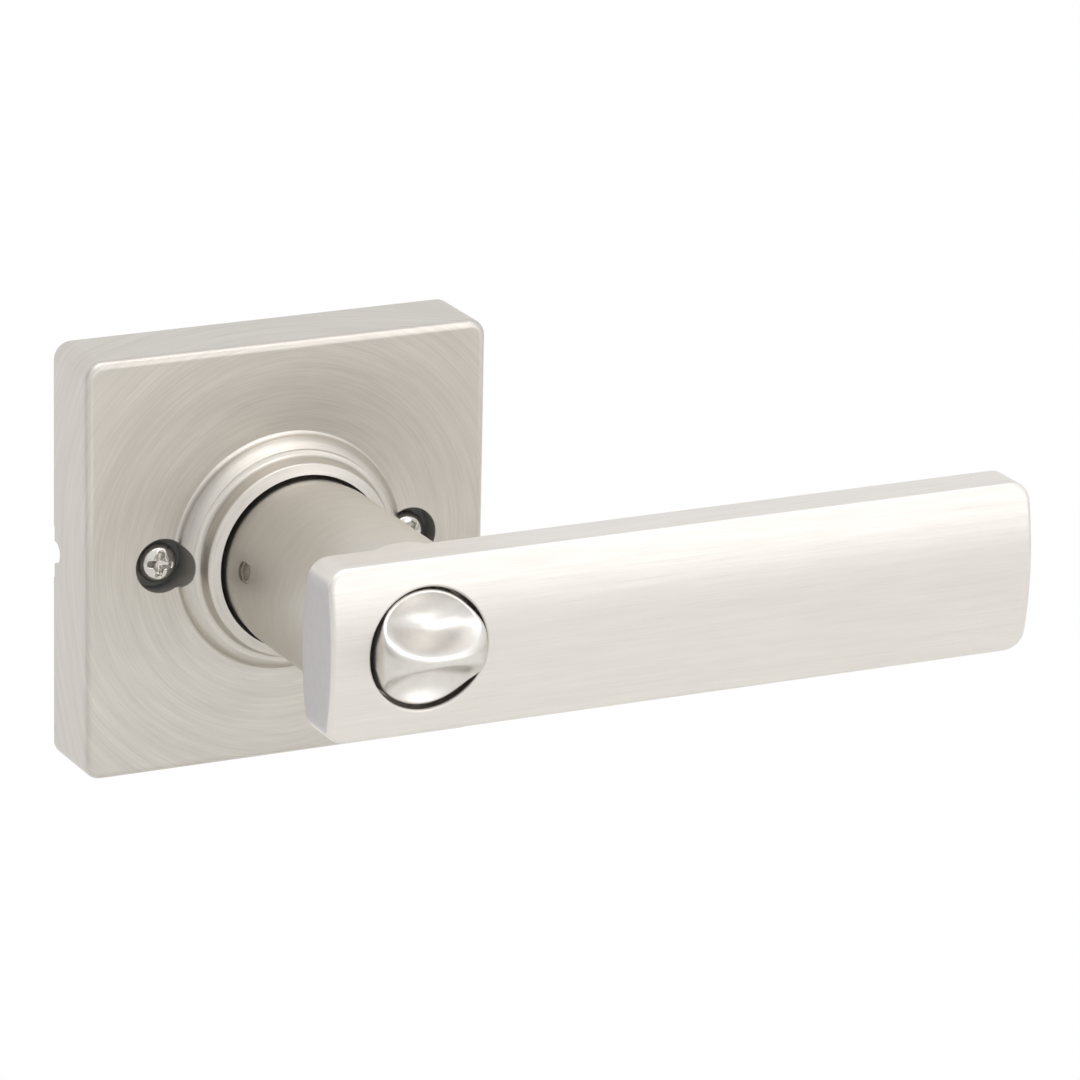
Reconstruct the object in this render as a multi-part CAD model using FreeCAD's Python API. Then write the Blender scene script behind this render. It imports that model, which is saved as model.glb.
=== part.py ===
import FreeCAD, Part
import math
import os

# Inside half of a square-rose privacy door lever, in millimetres.
# X runs along the lever arm, Y into the door and Z up.
# The origin is on the spindle axis, at the door face. The room is on the -Y side.

# Rose cover: a die-cast square shell with a turned collar around the neck
ROSE_SIZE = 66.0
ROSE_DEPTH = 12.7
ROSE_WALL = 1.8
ROSE_CORNER_R = 2.75
ROSE_EDGE_R = 1.2
COLLAR_GAP = 0.3
COLLAR_MOUTH_LIP = 0.65
COLLAR_WALL = 1.0
COLLAR_SHOULDER_WIDTH = 1.4
COLLAR_SHOULDER_H = 2.8
COLLAR_TOE_WIDTH = 2.1
COLLAR_LIP_H = 5.75
COLLAR_MOUTH_H = 6.4
COLLAR_MOUTH_DEPTH = 1.4
PRY_RELIEF_HEIGHT = 8.1
PRY_RELIEF_DEPTH = 0.3
PRY_NOTCH_R = 1.75
PRY_NOTCH_DEPTH = 2.4

# Through screws and the cast bosses that they clamp
SCREW_SPACING = 41.2
SCREW_R = 2.0
SCREW_HOLE_CLEARANCE = 0.4
SCREW_NECK_R = 1.75
SCREW_HEAD_R = 3.1
SCREW_HEAD_HEIGHT = 3.2
SCREW_HEAD_RIM = 1.7
SCREW_REACH = 42.0
SCREW_SNAP_PITCH = 6.0
SCREW_SNAP_COUNT = 3
SCREW_SNAP_DEPTH = 0.35
SCREW_POINT = 1.0
DRIVE_SLOT_WIDTH = 1.0
DRIVE_SLOT_LENGTH = 3.9
DRIVE_SLOT_DEPTH = 1.7
COUNTERBORE_GAP = 1.15
COUNTERBORE_DEPTH = 3.6
BOSS_WALL = 1.25

# Mounting plate behind the rose
PLATE_GAP = 2.2
PLATE_THICKNESS = 1.5
PLATE_SET_BACK = 0.5
PLATE_CORNER_R = 3.0
PLATE_WINDOW_LENGTH = 16.0
PLATE_WINDOW_R = 1.8
PLATE_WINDOW_INSET = 3.5

# Spring cassette
HOUSING_LEG_GAP = 0.8
HOUSING_WALL = 1.2
HOUSING_RIM = 1.5
HOUSING_BOSS_GAP = 0.4
EAR_R = 3.6
EAR_REACH = 2.9
EAR_THICKNESS = 1.5
RIVET_R = 1.4
RIVET_HEAD_R = 2.4
RIVET_HEAD_HEIGHT = 0.8
RIVET_TAIL_HEIGHT = 0.4
STOP_PIN_R = 1.0
STOP_GAP = 0.1

# Neck bearing, a moulded bush in the collar
BUSH_FLANGE_WIDTH = 2.1
BUSH_FLANGE_THICKNESS = 0.8
SNUG_GAP = 0.05
STACK_GAP = 0.1
RUNNING_FIT = 0.08

# Lever handle: lens-section arm cast in one piece with its hollow neck
LEVER_FRONT = 64.0
ARM_HEIGHT = 27.0
ARM_LEFT = 15.6
ARM_REACH = 101.0
ARM_EDGE_THICKNESS = 7.0
ARM_FRONT_CROWN = 2.0
ARM_BACK_CROWN = 2.3
ARM_CORNER_R = 3.2
ARM_EDGE_R = 0.9
NECK_R = 13.45
NECK_STEP_WIDTH = 0.25
NECK_STEP_H = 9.4
NECK_STEP_CHAMFER = 0.35
NECK_SOCKET_DEPTH = 33.4
PARTITION_THICKNESS = 3.0
CLIP_CHAMBER_GAP = 1.3
LEVER_TURN = 45.0

# Drive sleeve and what rides on it
SLEEVE_R = 9.5
SLEEVE_WALL = 1.8
SLEEVE_SOCKET_GAP = 1.9
SLEEVE_FLANGE_WIDTH = 1.1
SLEEVE_FLANGE_THICKNESS = 1.0
SLEEVE_FLAT_DEPTH = 0.9
SNAP_RING_THICKNESS = 0.8
SNAP_RING_PROUD = 1.9
SNAP_GROOVE_DEPTH = 0.45
SNAP_RING_GAP = 6.0
THRUST_WASHER_THICKNESS = 0.4
THRUST_WASHER_WIDTH = 2.9
SPRING_WASHER_HEIGHT = 1.0
SPRING_WASHER_THICKNESS = 0.45
WASHER_BORE_GAP = 0.35

# Spring driver
DRIVER_WIDTH = 3.1
DRIVER_THICKNESS = 1.2
DRIVER_TAB_WIDTH = 5.2
DRIVER_TAB_THICKNESS = 1.2
DRIVER_TAB_GAP = 2.2

# Return spring, a torsion coil
SPRING_WIRE_R = 0.8
SPRING_SLEEVE_GAP = 1.3
SPRING_PITCH = 1.7
SPRING_TURNS = 2
SPRING_LEG_PROUD = 2.4
SPRING_LEG_GAP = 0.1
LUG_GAP = 0.8

# Spindle hub in the back of the sleeve
HUB_LENGTH = 15.6
SPINDLE_SQUARE = 8.2
SPINDLE_SOCKET_DEPTH = 12.0
HUB_PIN_R = 1.0

# Lever catch, reached with a pin tool through the slot in the neck
CATCH_RISE_DEG = 10.0
CATCH_Y = 26.2
CATCH_SLOT_WIDTH = 3.0
CATCH_SLOT_LENGTH = 4.6
CATCH_SLOT_DEPTH = 0.6
CATCH_NOSE_R = 1.35
CATCH_TRAVEL = 2.2
CATCH_HEAD_R = 2.4
CATCH_HEAD_THICKNESS = 1.0
CATCH_SPRING_WIRE_R = 0.15
CATCH_SPRING_TURNS = 2.5
GUIDE_AHEAD = 5.3
GUIDE_LENGTH = 10.5
GUIDE_POCKET_FLOOR_R = 3.1

# Turn button and the blade that it turns
BUTTON_R = 8.9
BUTTON_GAP = 0.5
BUTTON_POCKET_EDGE_R = 0.35
BUTTON_POCKET_DEPTH = 6.4
BUTTON_FLOOR_GAP = 0.4
BUTTON_RIM_SET_BACK = 1.6
BUTTON_RIM_R = 0.5
RIDGE_WIDTH = 3.8
RIDGE_HEIGHT = 7.4
RIDGE_ROOT_R = 2.4
RIDGE_END_R = 1.8
STEM_R = 4.2
STEM_CLEARANCE = 0.3
STEM_LENGTH = 8.6
STEM_FLAT_DEPTH = 0.3
STEM_GROOVE_DEPTH = 0.7
CLIP_WIDTH = 2.7
CLIP_THICKNESS = 0.7
CLIP_MOUTH = 5.0
BUTTON_WASHER_WIDTH = 2.6
BUTTON_WASHER_HEIGHT = 0.6
BUTTON_WASHER_THICKNESS = 0.3
DETENT_LEAF = 0.35
DETENT_WIDTH = 2.6
BLADE_WIDTH = 4.2
BLADE_THICKNESS = 1.6
BLADE_REACH = 24.0
BLADE_SEAT = 7.2
BLADE_GAP = 0.45

# Radii and half-widths that follow from what they fit
NECK_SPIGOT_R = NECK_R - NECK_STEP_WIDTH
COLLAR_MOUTH_R = NECK_R + COLLAR_GAP
COLLAR_CAVITY_R = COLLAR_MOUTH_R + COLLAR_MOUTH_LIP
COLLAR_LIP_R = COLLAR_CAVITY_R + COLLAR_WALL
COLLAR_SHOULDER_R = COLLAR_LIP_R + COLLAR_SHOULDER_WIDTH
COLLAR_BASE_R = COLLAR_SHOULDER_R + COLLAR_TOE_WIDTH
BUSH_FLANGE_R = COLLAR_CAVITY_R + BUSH_FLANGE_WIDTH
SLEEVE_BORE_R = SLEEVE_R - SLEEVE_WALL
SLEEVE_FLANGE_R = SLEEVE_R + SLEEVE_FLANGE_WIDTH
SLEEVE_FLAT = SLEEVE_R - SLEEVE_FLAT_DEPTH
SNAP_GROOVE_R = SLEEVE_R - SNAP_GROOVE_DEPTH
SNAP_RING_R = SLEEVE_R + SNAP_RING_PROUD
THRUST_WASHER_R = SLEEVE_R + THRUST_WASHER_WIDTH
DRIVER_R = SLEEVE_R + DRIVER_WIDTH
SPRING_MEAN_R = SLEEVE_R + SPRING_SLEEVE_GAP + SPRING_WIRE_R
DRIVER_TAB_INNER = SPRING_MEAN_R + SPRING_WIRE_R + DRIVER_TAB_GAP
DRIVER_TAB_OUTER = DRIVER_TAB_INNER + DRIVER_TAB_THICKNESS
STOP_PIN_CIRCLE_R = DRIVER_TAB_INNER
SPRING_LEG_END = DRIVER_TAB_OUTER + SPRING_LEG_PROUD
HOUSING_R = SPRING_LEG_END + HOUSING_LEG_GAP + HOUSING_RIM
EAR_CIRCLE_R = HOUSING_R + EAR_REACH
COUNTERBORE_R = SCREW_HEAD_R + COUNTERBORE_GAP
PLATE_SIZE = ROSE_SIZE - 2 * (ROSE_WALL + PLATE_GAP)
PLATE_WINDOW_Z = PLATE_SIZE / 2 - PLATE_WINDOW_INSET
BUTTON_POCKET_R = BUTTON_R + BUTTON_GAP
STEM_FLAT = STEM_R - STEM_FLAT_DEPTH
STEM_GROOVE_R = STEM_R - STEM_GROOVE_DEPTH
CLIP_R = STEM_GROOVE_R + CLIP_WIDTH
BUTTON_WASHER_R = STEM_R + BUTTON_WASHER_WIDTH
CLIP_CHAMBER_R = CLIP_R + CLIP_CHAMBER_GAP
GUIDE_FRONT = CATCH_Y + GUIDE_AHEAD

# Planes worked out from the sizes above, as distances in front of the door face
ROSE_CEILING = ROSE_DEPTH - ROSE_WALL
SCREW_SEAT = ROSE_DEPTH - COUNTERBORE_DEPTH
PLATE_FRONT = PLATE_SET_BACK + PLATE_THICKNESS
BUSH_BACK = ROSE_CEILING - BUSH_FLANGE_THICKNESS
BUSH_FRONT = ROSE_DEPTH + COLLAR_MOUTH_H - COLLAR_MOUTH_DEPTH - STACK_GAP
HOUSING_FRONT = BUSH_BACK - STACK_GAP
HOUSING_CEILING = HOUSING_FRONT - HOUSING_WALL
DRIVER_BACK = PLATE_FRONT + 0.4
DRIVER_FRONT = DRIVER_BACK + DRIVER_THICKNESS
SNAP_BACK = HOUSING_FRONT + THRUST_WASHER_THICKNESS + STACK_GAP
SNAP_FRONT = SNAP_BACK + SNAP_RING_THICKNESS
NECK_BACK = SNAP_FRONT + SPRING_WASHER_HEIGHT + 2 * STACK_GAP
NECK_STEP = ROSE_DEPTH + NECK_STEP_H
SOCKET_END = NECK_BACK + NECK_SOCKET_DEPTH
SLEEVE_FRONT = SOCKET_END - SLEEVE_SOCKET_GAP
POCKET_FLOOR = LEVER_FRONT - BUTTON_POCKET_DEPTH
PARTITION_BACK = POCKET_FLOOR - PARTITION_THICKNESS
BUTTON_BACK = POCKET_FLOOR + BUTTON_FLOOR_GAP
BUTTON_RIM = LEVER_FRONT - BUTTON_RIM_SET_BACK
STEM_BACK = BUTTON_BACK - STEM_LENGTH
CLIP_FRONT = PARTITION_BACK - BUTTON_WASHER_HEIGHT - STACK_GAP
DETENT_FRONT = CLIP_FRONT - CLIP_THICKNESS - 0.3
SLEEVE_BACK = DRIVER_BACK - SLEEVE_FLANGE_THICKNESS
BOSS_R = COUNTERBORE_R + BOSS_WALL
CATCH_HEAD_OUTER = math.sqrt(SLEEVE_BORE_R ** 2 - CATCH_HEAD_R ** 2) - SNUG_GAP
CATCH_HEAD_INNER = CATCH_HEAD_OUTER - CATCH_HEAD_THICKNESS
CATCH_TIP_R = SLEEVE_R - STACK_GAP + CATCH_TRAVEL
CATCH_SLOT_FLOOR_R = NECK_R - CATCH_SLOT_DEPTH
BOSS_X = (-SCREW_SPACING / 2, SCREW_SPACING / 2)
CAVITY_R = HOUSING_R - HOUSING_RIM
EAR_AT = EAR_CIRCLE_R * math.cos(math.radians(45))


def vec(x, y, z):
    return FreeCAD.Vector(x, y, z)


def rod(radius, front, back, x=0.0, z=0.0):
    """Cylinder along Y between two distances in front of the door face."""
    return Part.makeCylinder(radius, front - back, vec(x, -front, z), vec(0, 1, 0))


def ring(outer_r, inner_r, front, back):
    return rod(outer_r, front, back).cut(rod(inner_r, front + 1, back - 1))


def block(x0, x1, front, back, z0, z1):
    return Part.makeBox(x1 - x0, front - back, z1 - z0, vec(x0, -front, z0))


def rounded_block(size_x, size_z, radius, front, back, centre_x=0.0):
    """Block with its four edges along Y rounded."""
    body = block(centre_x - size_x / 2, centre_x + size_x / 2, front, back, -size_z / 2, size_z / 2)
    corners = [e for e in body.Edges if abs(e.tangentAt(e.FirstParameter).y) > 0.99]
    return body.makeFillet(radius, corners)


def turned(points):
    """Solid turned about Y from a closed outline of (radius, distance in front) lines and arcs."""
    edges = []
    start = points[0]
    for step in points[1:] + [points[0]]:
        if len(step) == 2:
            edges.append(Part.makeLine(vec(start[0], -start[1], 0), vec(step[0], -step[1], 0)))
            start = step
        else:
            through = vec(step[0], -step[1], 0)
            end = vec(step[2], -step[3], 0)
            edges.append(Part.Arc(vec(start[0], -start[1], 0), through, end).toShape())
            start = (step[2], step[3])
    face = Part.Face(Part.Wire(edges))
    return face.revolve(vec(0, 0, 0), vec(0, 1, 0), 360)


def radial_rod(radius, inner, outer, front, rise_deg):
    """Cylinder along -X, tipped up about the spindle axis by rise_deg."""
    body = Part.makeCylinder(radius, outer - inner, vec(-outer, -front, 0), vec(1, 0, 0))
    body.rotate(vec(0, 0, 0), vec(0, 1, 0), rise_deg)
    return body


def coil(wire_r, mean_r, pitch, turns):
    """Helical spring about Z, starting on +X at Z = 0."""
    path = Part.makeHelix(pitch, pitch * turns, mean_r)
    lead = pitch / (2 * math.pi * mean_r)
    section = Part.Wire(Part.makeCircle(wire_r, vec(mean_r, 0, 0), vec(0, 1, lead)))
    return Part.Wire(path.Edges).makePipeShell([section], True, True)


def dished_washer(outer_r, inner_r, front, height, thickness):
    back = front - height
    outline = [(inner_r, front), (inner_r, front - thickness), (outer_r, back), (outer_r, back + thickness)]
    return turned(outline)


# Fixed to the door

def collar_outline():
    """Turned collar: coved shoulder, groove and lip, standing on the rose face."""
    face = ROSE_DEPTH
    shoulder = (COLLAR_SHOULDER_R, face + COLLAR_SHOULDER_H)
    cove_top = (COLLAR_LIP_R + 0.3, face + COLLAR_SHOULDER_H + 1.1)
    lip_low = (COLLAR_LIP_R, face + COLLAR_LIP_H - 0.65)
    toe = (COLLAR_BASE_R - 0.6, face + 1.0)
    return [
        (COLLAR_CAVITY_R - 2, face - 1),
        (COLLAR_CAVITY_R - 2, face + COLLAR_MOUTH_H),
        (COLLAR_MOUTH_R, face + COLLAR_MOUTH_H),
        (COLLAR_LIP_R - 0.4, face + COLLAR_LIP_H),
        (COLLAR_LIP_R - 0.08, face + COLLAR_LIP_H - 0.25, lip_low[0], lip_low[1]),
        cove_top,
        (cove_top[0] + 0.32, shoulder[1] + 0.3, shoulder[0], shoulder[1]),
        (toe[0] - 0.68, face + 2.05, toe[0], toe[1]),
        (COLLAR_BASE_R - 0.42, face + 0.42, COLLAR_BASE_R, face),
        (COLLAR_BASE_R, face - 1),
    ]


def pry_notch():
    """Shallow relief and half-round slot in the back edge of the rose's side wall."""
    relief = block(-ROSE_SIZE / 2 - 1, -ROSE_SIZE / 2 + ROSE_WALL + 1, PRY_RELIEF_DEPTH, -1,
                   -PRY_RELIEF_HEIGHT / 2, PRY_RELIEF_HEIGHT / 2)
    axis_at = PRY_NOTCH_DEPTH - PRY_NOTCH_R
    slot = Part.makeCylinder(PRY_NOTCH_R, ROSE_WALL + 2, vec(-ROSE_SIZE / 2 - 1, -axis_at, 0), vec(1, 0, 0))
    mouth = block(-ROSE_SIZE / 2 - 1, -ROSE_SIZE / 2 + ROSE_WALL + 1, axis_at, -1, -PRY_NOTCH_R, PRY_NOTCH_R)
    return relief.fuse([slot, mouth])


def rose_cover():
    body = rounded_block(ROSE_SIZE, ROSE_SIZE, ROSE_CORNER_R, ROSE_DEPTH, 0)
    front_edges = [e for e in body.Edges if abs(e.BoundBox.YMax + ROSE_DEPTH) < 0.01]
    body = body.makeFillet(ROSE_EDGE_R, front_edges)
    body = body.fuse(turned(collar_outline()))
    inner = ROSE_SIZE - 2 * ROSE_WALL
    body = body.cut(rounded_block(inner, inner, ROSE_CORNER_R - ROSE_WALL, ROSE_CEILING, -1))
    body = body.cut(rod(COLLAR_MOUTH_R, 40, -1))
    body = body.cut(rod(COLLAR_CAVITY_R, BUSH_FRONT + STACK_GAP, -1))
    for x in BOSS_X:
        body = body.fuse(rod(BOSS_R, ROSE_CEILING, PLATE_FRONT, x))
    for x in BOSS_X:
        body = body.cut(rod(COUNTERBORE_R, 40, SCREW_SEAT, x))
        body = body.cut(rod(SCREW_R + SCREW_HOLE_CLEARANCE, 40, 0, x))
    return body.cut(pry_notch())


def mounting_plate():
    body = rounded_block(PLATE_SIZE, PLATE_SIZE, PLATE_CORNER_R, PLATE_FRONT, PLATE_SET_BACK)
    body = body.cut(rod(SLEEVE_FLANGE_R + 4 * STACK_GAP, 40, -1))
    for x in BOSS_X:
        body = body.cut(rod(SCREW_R + SCREW_HOLE_CLEARANCE, 40, -1, x))
    for x, z in ear_places():
        body = body.cut(rod(RIVET_R, 40, -1, x, z))
    for z in (-PLATE_WINDOW_Z, PLATE_WINDOW_Z):
        half = PLATE_WINDOW_LENGTH / 2 - PLATE_WINDOW_R
        body = body.cut(block(-half, half, 40, -1, z - PLATE_WINDOW_R, z + PLATE_WINDOW_R))
        for x in (-half, half):
            body = body.cut(rod(PLATE_WINDOW_R, 40, -1, x, z))
    return body


def ear_places():
    return [(sx * EAR_AT, sz * EAR_AT) for sx in (-1, 1) for sz in (-1, 1)]


def cassette_housing():
    """Cup that holds the return spring, with scallops for the screw bosses and four riveting ears."""
    body = rod(HOUSING_R, HOUSING_FRONT, PLATE_FRONT)
    hollow = rod(CAVITY_R, HOUSING_CEILING, PLATE_FRONT - 1)
    scallop_r = BOSS_R + HOUSING_BOSS_GAP
    for x in BOSS_X:
        body = body.cut(rod(scallop_r, 40, -1, x))
        hollow = hollow.cut(rod(scallop_r + HOUSING_WALL, 40, -1, x))
    for x, z in ear_places():
        body = body.fuse(rod(EAR_R, PLATE_FRONT + EAR_THICKNESS, PLATE_FRONT, x, z))
    body = body.cut(hollow)
    for x, z in ear_places():
        body = body.cut(rod(RIVET_R, 40, -1, x, z))
    half = DRIVER_TAB_WIDTH / 2
    lug = block(-half, half, HOUSING_CEILING, PLATE_FRONT, -CAVITY_R - 0.5, -DRIVER_TAB_OUTER - LUG_GAP)
    body = body.fuse(lug)
    return body.cut(rod(SLEEVE_R + RUNNING_FIT, 40, -1))


def cassette_rivets():
    solids = []
    for x, z in ear_places():
        head_back = PLATE_FRONT + EAR_THICKNESS
        shank = rod(RIVET_R, head_back, PLATE_SET_BACK, x, z)
        head = rod(RIVET_HEAD_R, head_back + RIVET_HEAD_HEIGHT, head_back, x, z)
        tail = rod(RIVET_HEAD_R, PLATE_SET_BACK, PLATE_SET_BACK - RIVET_TAIL_HEIGHT, x, z)
        solids.append(shank.fuse([head, tail]).removeSplitter())
    return Part.makeCompound(solids)


def stop_pins():
    """Two pins that the driver's upper ear meets at the ends of the lever's turn."""
    reach = math.degrees(math.asin((DRIVER_TAB_WIDTH / 2 + STOP_PIN_R + STOP_GAP) / STOP_PIN_CIRCLE_R))
    angle = math.radians(LEVER_TURN + reach)
    solids = []
    for side in (-1, 1):
        x = side * STOP_PIN_CIRCLE_R * math.sin(angle)
        z = STOP_PIN_CIRCLE_R * math.cos(angle)
        solids.append(rod(STOP_PIN_R, HOUSING_CEILING, PLATE_FRONT, x, z))
    return Part.makeCompound(solids)


def neck_bearing():
    tube = rod(COLLAR_CAVITY_R - SNUG_GAP, BUSH_FRONT, BUSH_BACK)
    flange = rod(BUSH_FLANGE_R, ROSE_CEILING, BUSH_BACK)
    for x in BOSS_X:
        tube = tube.cut(rod(BOSS_R + STACK_GAP, 40, -1, x))
        flange = flange.cut(rod(BOSS_R + STACK_GAP, 40, -1, x))
    return tube.fuse(flange).removeSplitter().cut(rod(NECK_SPIGOT_R + RUNNING_FIT, 40, -1))


def screw_outline():
    head_front = SCREW_SEAT + SCREW_HEAD_HEIGHT
    rim = SCREW_SEAT + SCREW_HEAD_RIM
    outline = [
        (0, head_front),
        (SCREW_HEAD_R * 0.62, head_front - 0.32, SCREW_HEAD_R, rim),
        (SCREW_HEAD_R, SCREW_SEAT),
        (SCREW_NECK_R, SCREW_SEAT),
        (SCREW_NECK_R, 0),
        (SCREW_R, 0),
    ]
    first = -SCREW_REACH + SCREW_SNAP_PITCH * (SCREW_SNAP_COUNT + 1)
    for i in range(SCREW_SNAP_COUNT):
        at = first - SCREW_SNAP_PITCH * i
        outline.append((SCREW_R, at + SCREW_SNAP_DEPTH))
        outline.append((SCREW_R - SCREW_SNAP_DEPTH, at))
        outline.append((SCREW_R, at - SCREW_SNAP_DEPTH))
    outline.append((SCREW_R, -SCREW_REACH + SCREW_POINT))
    outline.append((SCREW_R - SCREW_POINT / 2, -SCREW_REACH))
    outline.append((0, -SCREW_REACH))
    return outline


def mounting_screws():
    """Two pan-head screws with cross recesses, notched so that they can be snapped to length."""
    top = SCREW_SEAT + SCREW_HEAD_HEIGHT
    half_w = DRIVE_SLOT_WIDTH / 2
    half_l = DRIVE_SLOT_LENGTH / 2
    screw = turned(screw_outline())
    screw = screw.cut(block(-half_w, half_w, top + 1, top - DRIVE_SLOT_DEPTH, -half_l, half_l))
    screw = screw.cut(block(-half_l, half_l, top + 1, top - DRIVE_SLOT_DEPTH, -half_w, half_w))
    point = Part.makeCone(0.3, half_w * 2.1, DRIVE_SLOT_DEPTH + 0.5, vec(0, -top + DRIVE_SLOT_DEPTH + 0.4, 0),
                          vec(0, -1, 0))
    screw = screw.cut(point)
    solids = []
    for x, twist in zip(BOSS_X, (45, 20)):
        copy = screw.copy()
        copy.rotate(vec(0, 0, 0), vec(0, 1, 0), twist)
        copy.translate(vec(x, 0, 0))
        solids.append(copy)
    return Part.makeCompound(solids)


def bent_leg(root, along, bend_r):
    """Bend and straight leg that carry the spring wire on from root, along its tangent, then outward."""
    outward = vec(1, 0, 0)
    centre = root + outward * bend_r
    tip = centre + along * bend_r
    middle = centre + (along - outward) * (bend_r * math.sqrt(0.5))
    end = vec(SPRING_LEG_END, tip.y, tip.z)
    return [Part.Arc(root, middle, tip).toShape(), Part.makeLine(tip, end)], end


def return_spring():
    """Torsion coil whose two legs clasp the housing lug and the driver tab."""
    leg_x = DRIVER_TAB_WIDTH / 2 + SPRING_WIRE_R + SPRING_LEG_GAP
    height = SPRING_PITCH * SPRING_TURNS
    along = vec(0, 1, SPRING_PITCH / (2 * math.pi * SPRING_MEAN_R)).normalize()
    first, first_end = bent_leg(vec(SPRING_MEAN_R, 0, 0), along * -1, leg_x)
    last, last_end = bent_leg(vec(SPRING_MEAN_R, 0, height), along, leg_x)
    turns = Part.makeHelix(SPRING_PITCH, height, SPRING_MEAN_R).Edges
    path = Part.Wire(Part.__sortEdges__(first + turns + last))
    section = Part.Wire(Part.makeCircle(SPRING_WIRE_R, first_end, vec(1, 0, 0)))
    solid = path.makePipeShell([section], True, True)
    solid.rotate(vec(0, 0, 0), vec(0, 1, 0), 90)
    solid.rotate(vec(0, 0, 0), vec(0, 0, 1), 90)
    solid.translate(vec(0, -(HOUSING_CEILING + DRIVER_FRONT) / 2 - height / 2, 0))
    return solid


# Turns with the lever

def arm():
    """Bar with crowned front and back, narrow top and bottom edges and rounded ends."""
    half = ARM_HEIGHT / 2
    edge_front = LEVER_FRONT - ARM_FRONT_CROWN
    edge_back = edge_front - ARM_EDGE_THICKNESS
    mid_back = edge_back - ARM_BACK_CROWN
    start_x = -ARM_LEFT
    low_front = vec(start_x, -edge_front, -half)
    high_front = vec(start_x, -edge_front, half)
    high_back = vec(start_x, -edge_back, half)
    low_back = vec(start_x, -edge_back, -half)
    outline = Part.Wire([
        Part.Arc(low_front, vec(start_x, -LEVER_FRONT, 0), high_front).toShape(),
        Part.makeLine(high_front, high_back),
        Part.Arc(high_back, vec(start_x, -mid_back, 0), low_back).toShape(),
        Part.makeLine(low_back, low_front),
    ])
    length = ARM_LEFT + ARM_REACH
    bar = Part.Face(outline).extrude(vec(length, 0, 0))
    middle = ARM_REACH - length / 2
    plan = rounded_block(length, ARM_HEIGHT, ARM_CORNER_R, LEVER_FRONT + 1, mid_back - 1, middle)
    bar = bar.common(plan)
    rims = [e for e in bar.Edges if abs(e.tangentAt(e.FirstParameter).y) < 0.9 or e.Length > ARM_CORNER_R * 4]
    return bar.makeFillet(ARM_EDGE_R, rims)


def catch_slot():
    """Round-ended slot in the neck that the catch tool enters."""
    half = CATCH_SLOT_WIDTH / 2
    back = CATCH_Y - half
    front = back + CATCH_SLOT_LENGTH - CATCH_SLOT_WIDTH
    outer = NECK_R + 2
    slot = radial_rod(half, CATCH_SLOT_FLOOR_R, outer, back + half, 0)
    slot = slot.fuse(radial_rod(half, CATCH_SLOT_FLOOR_R, outer, front + half, 0))
    slot = slot.fuse(block(-outer, -CATCH_SLOT_FLOOR_R, front + half, back + half, -half, half))
    slot.rotate(vec(0, 0, 0), vec(0, 1, 0), CATCH_RISE_DEG)
    return slot


def catch_hole(inner, outer):
    return radial_rod(CATCH_NOSE_R + RUNNING_FIT, inner, outer, CATCH_Y, CATCH_RISE_DEG)


def lever_handle():
    neck = turned([
        (0, NECK_BACK),
        (NECK_SPIGOT_R, NECK_BACK),
        (NECK_SPIGOT_R, NECK_STEP),
        (NECK_R, NECK_STEP + NECK_STEP_CHAMFER),
        (NECK_R, LEVER_FRONT - ARM_FRONT_CROWN - 3),
        (0, LEVER_FRONT - 5),
    ])
    body = arm().fuse(neck)
    body = body.cut(rod(BUTTON_POCKET_R, LEVER_FRONT + 1, POCKET_FLOOR))
    rim = [e for e in body.Edges if pocket_rim(e)]
    body = body.makeFillet(BUTTON_POCKET_EDGE_R, rim)
    body = body.cut(rod(STEM_R + STEM_CLEARANCE, POCKET_FLOOR + 1, PARTITION_BACK - 1))
    body = body.cut(rod(CLIP_CHAMBER_R, PARTITION_BACK, SOCKET_END - 1))
    body = body.cut(rod(SLEEVE_R + SNUG_GAP, SOCKET_END, NECK_BACK - 1))
    body = body.cut(catch_slot())
    return body.cut(catch_hole(SLEEVE_R - 1, NECK_R))


def pocket_rim(edge):
    box = edge.BoundBox
    on_wall = abs(box.XLength - 2 * BUTTON_POCKET_R) < 0.2 and abs(box.ZLength - 2 * BUTTON_POCKET_R) < 0.2
    return on_wall and box.YMax < -(POCKET_FLOOR + 2)


def drive_sleeve():
    body = rod(SLEEVE_R, SLEEVE_FRONT, DRIVER_BACK)
    body = body.fuse(rod(SLEEVE_FLANGE_R, DRIVER_BACK, SLEEVE_BACK))
    body = body.cut(rod(SLEEVE_BORE_R, SLEEVE_FRONT + 1, SLEEVE_BACK - 1))
    body = body.cut(ring(SLEEVE_R + 1, SNAP_GROOVE_R, SNAP_FRONT, SNAP_BACK))
    for side in (-1, 1):
        z0, z1 = sorted((side * SLEEVE_FLAT, side * (SLEEVE_R + 1)))
        body = body.cut(block(-SLEEVE_R, SLEEVE_R, DRIVER_FRONT, DRIVER_BACK, z0, z1))
    body = body.cut(hub_pin_tools())
    return body.cut(catch_hole(SLEEVE_BORE_R - 1, SLEEVE_R + 1))


def driver_bore():
    front = DRIVER_FRONT + 1
    back = DRIVER_BACK - 1
    bore = rod(SLEEVE_R, front, back)
    return bore.common(block(-SLEEVE_R, SLEEVE_R, front, back, -SLEEVE_FLAT, SLEEVE_FLAT))


def spring_driver():
    """Pressed washer keyed to the sleeve, with a tab for the spring and an ear for the stop pins."""
    half = DRIVER_TAB_WIDTH / 2
    body = rod(DRIVER_R, DRIVER_FRONT, DRIVER_BACK)
    body = body.fuse(block(-half, half, DRIVER_FRONT, DRIVER_BACK, -DRIVER_TAB_OUTER, DRIVER_TAB_OUTER))
    tab_front = HOUSING_CEILING - 3 * STACK_GAP
    body = body.fuse(block(-half, half, tab_front, DRIVER_BACK, -DRIVER_TAB_OUTER, -DRIVER_TAB_INNER))
    return body.cut(driver_bore()).removeSplitter()


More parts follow.
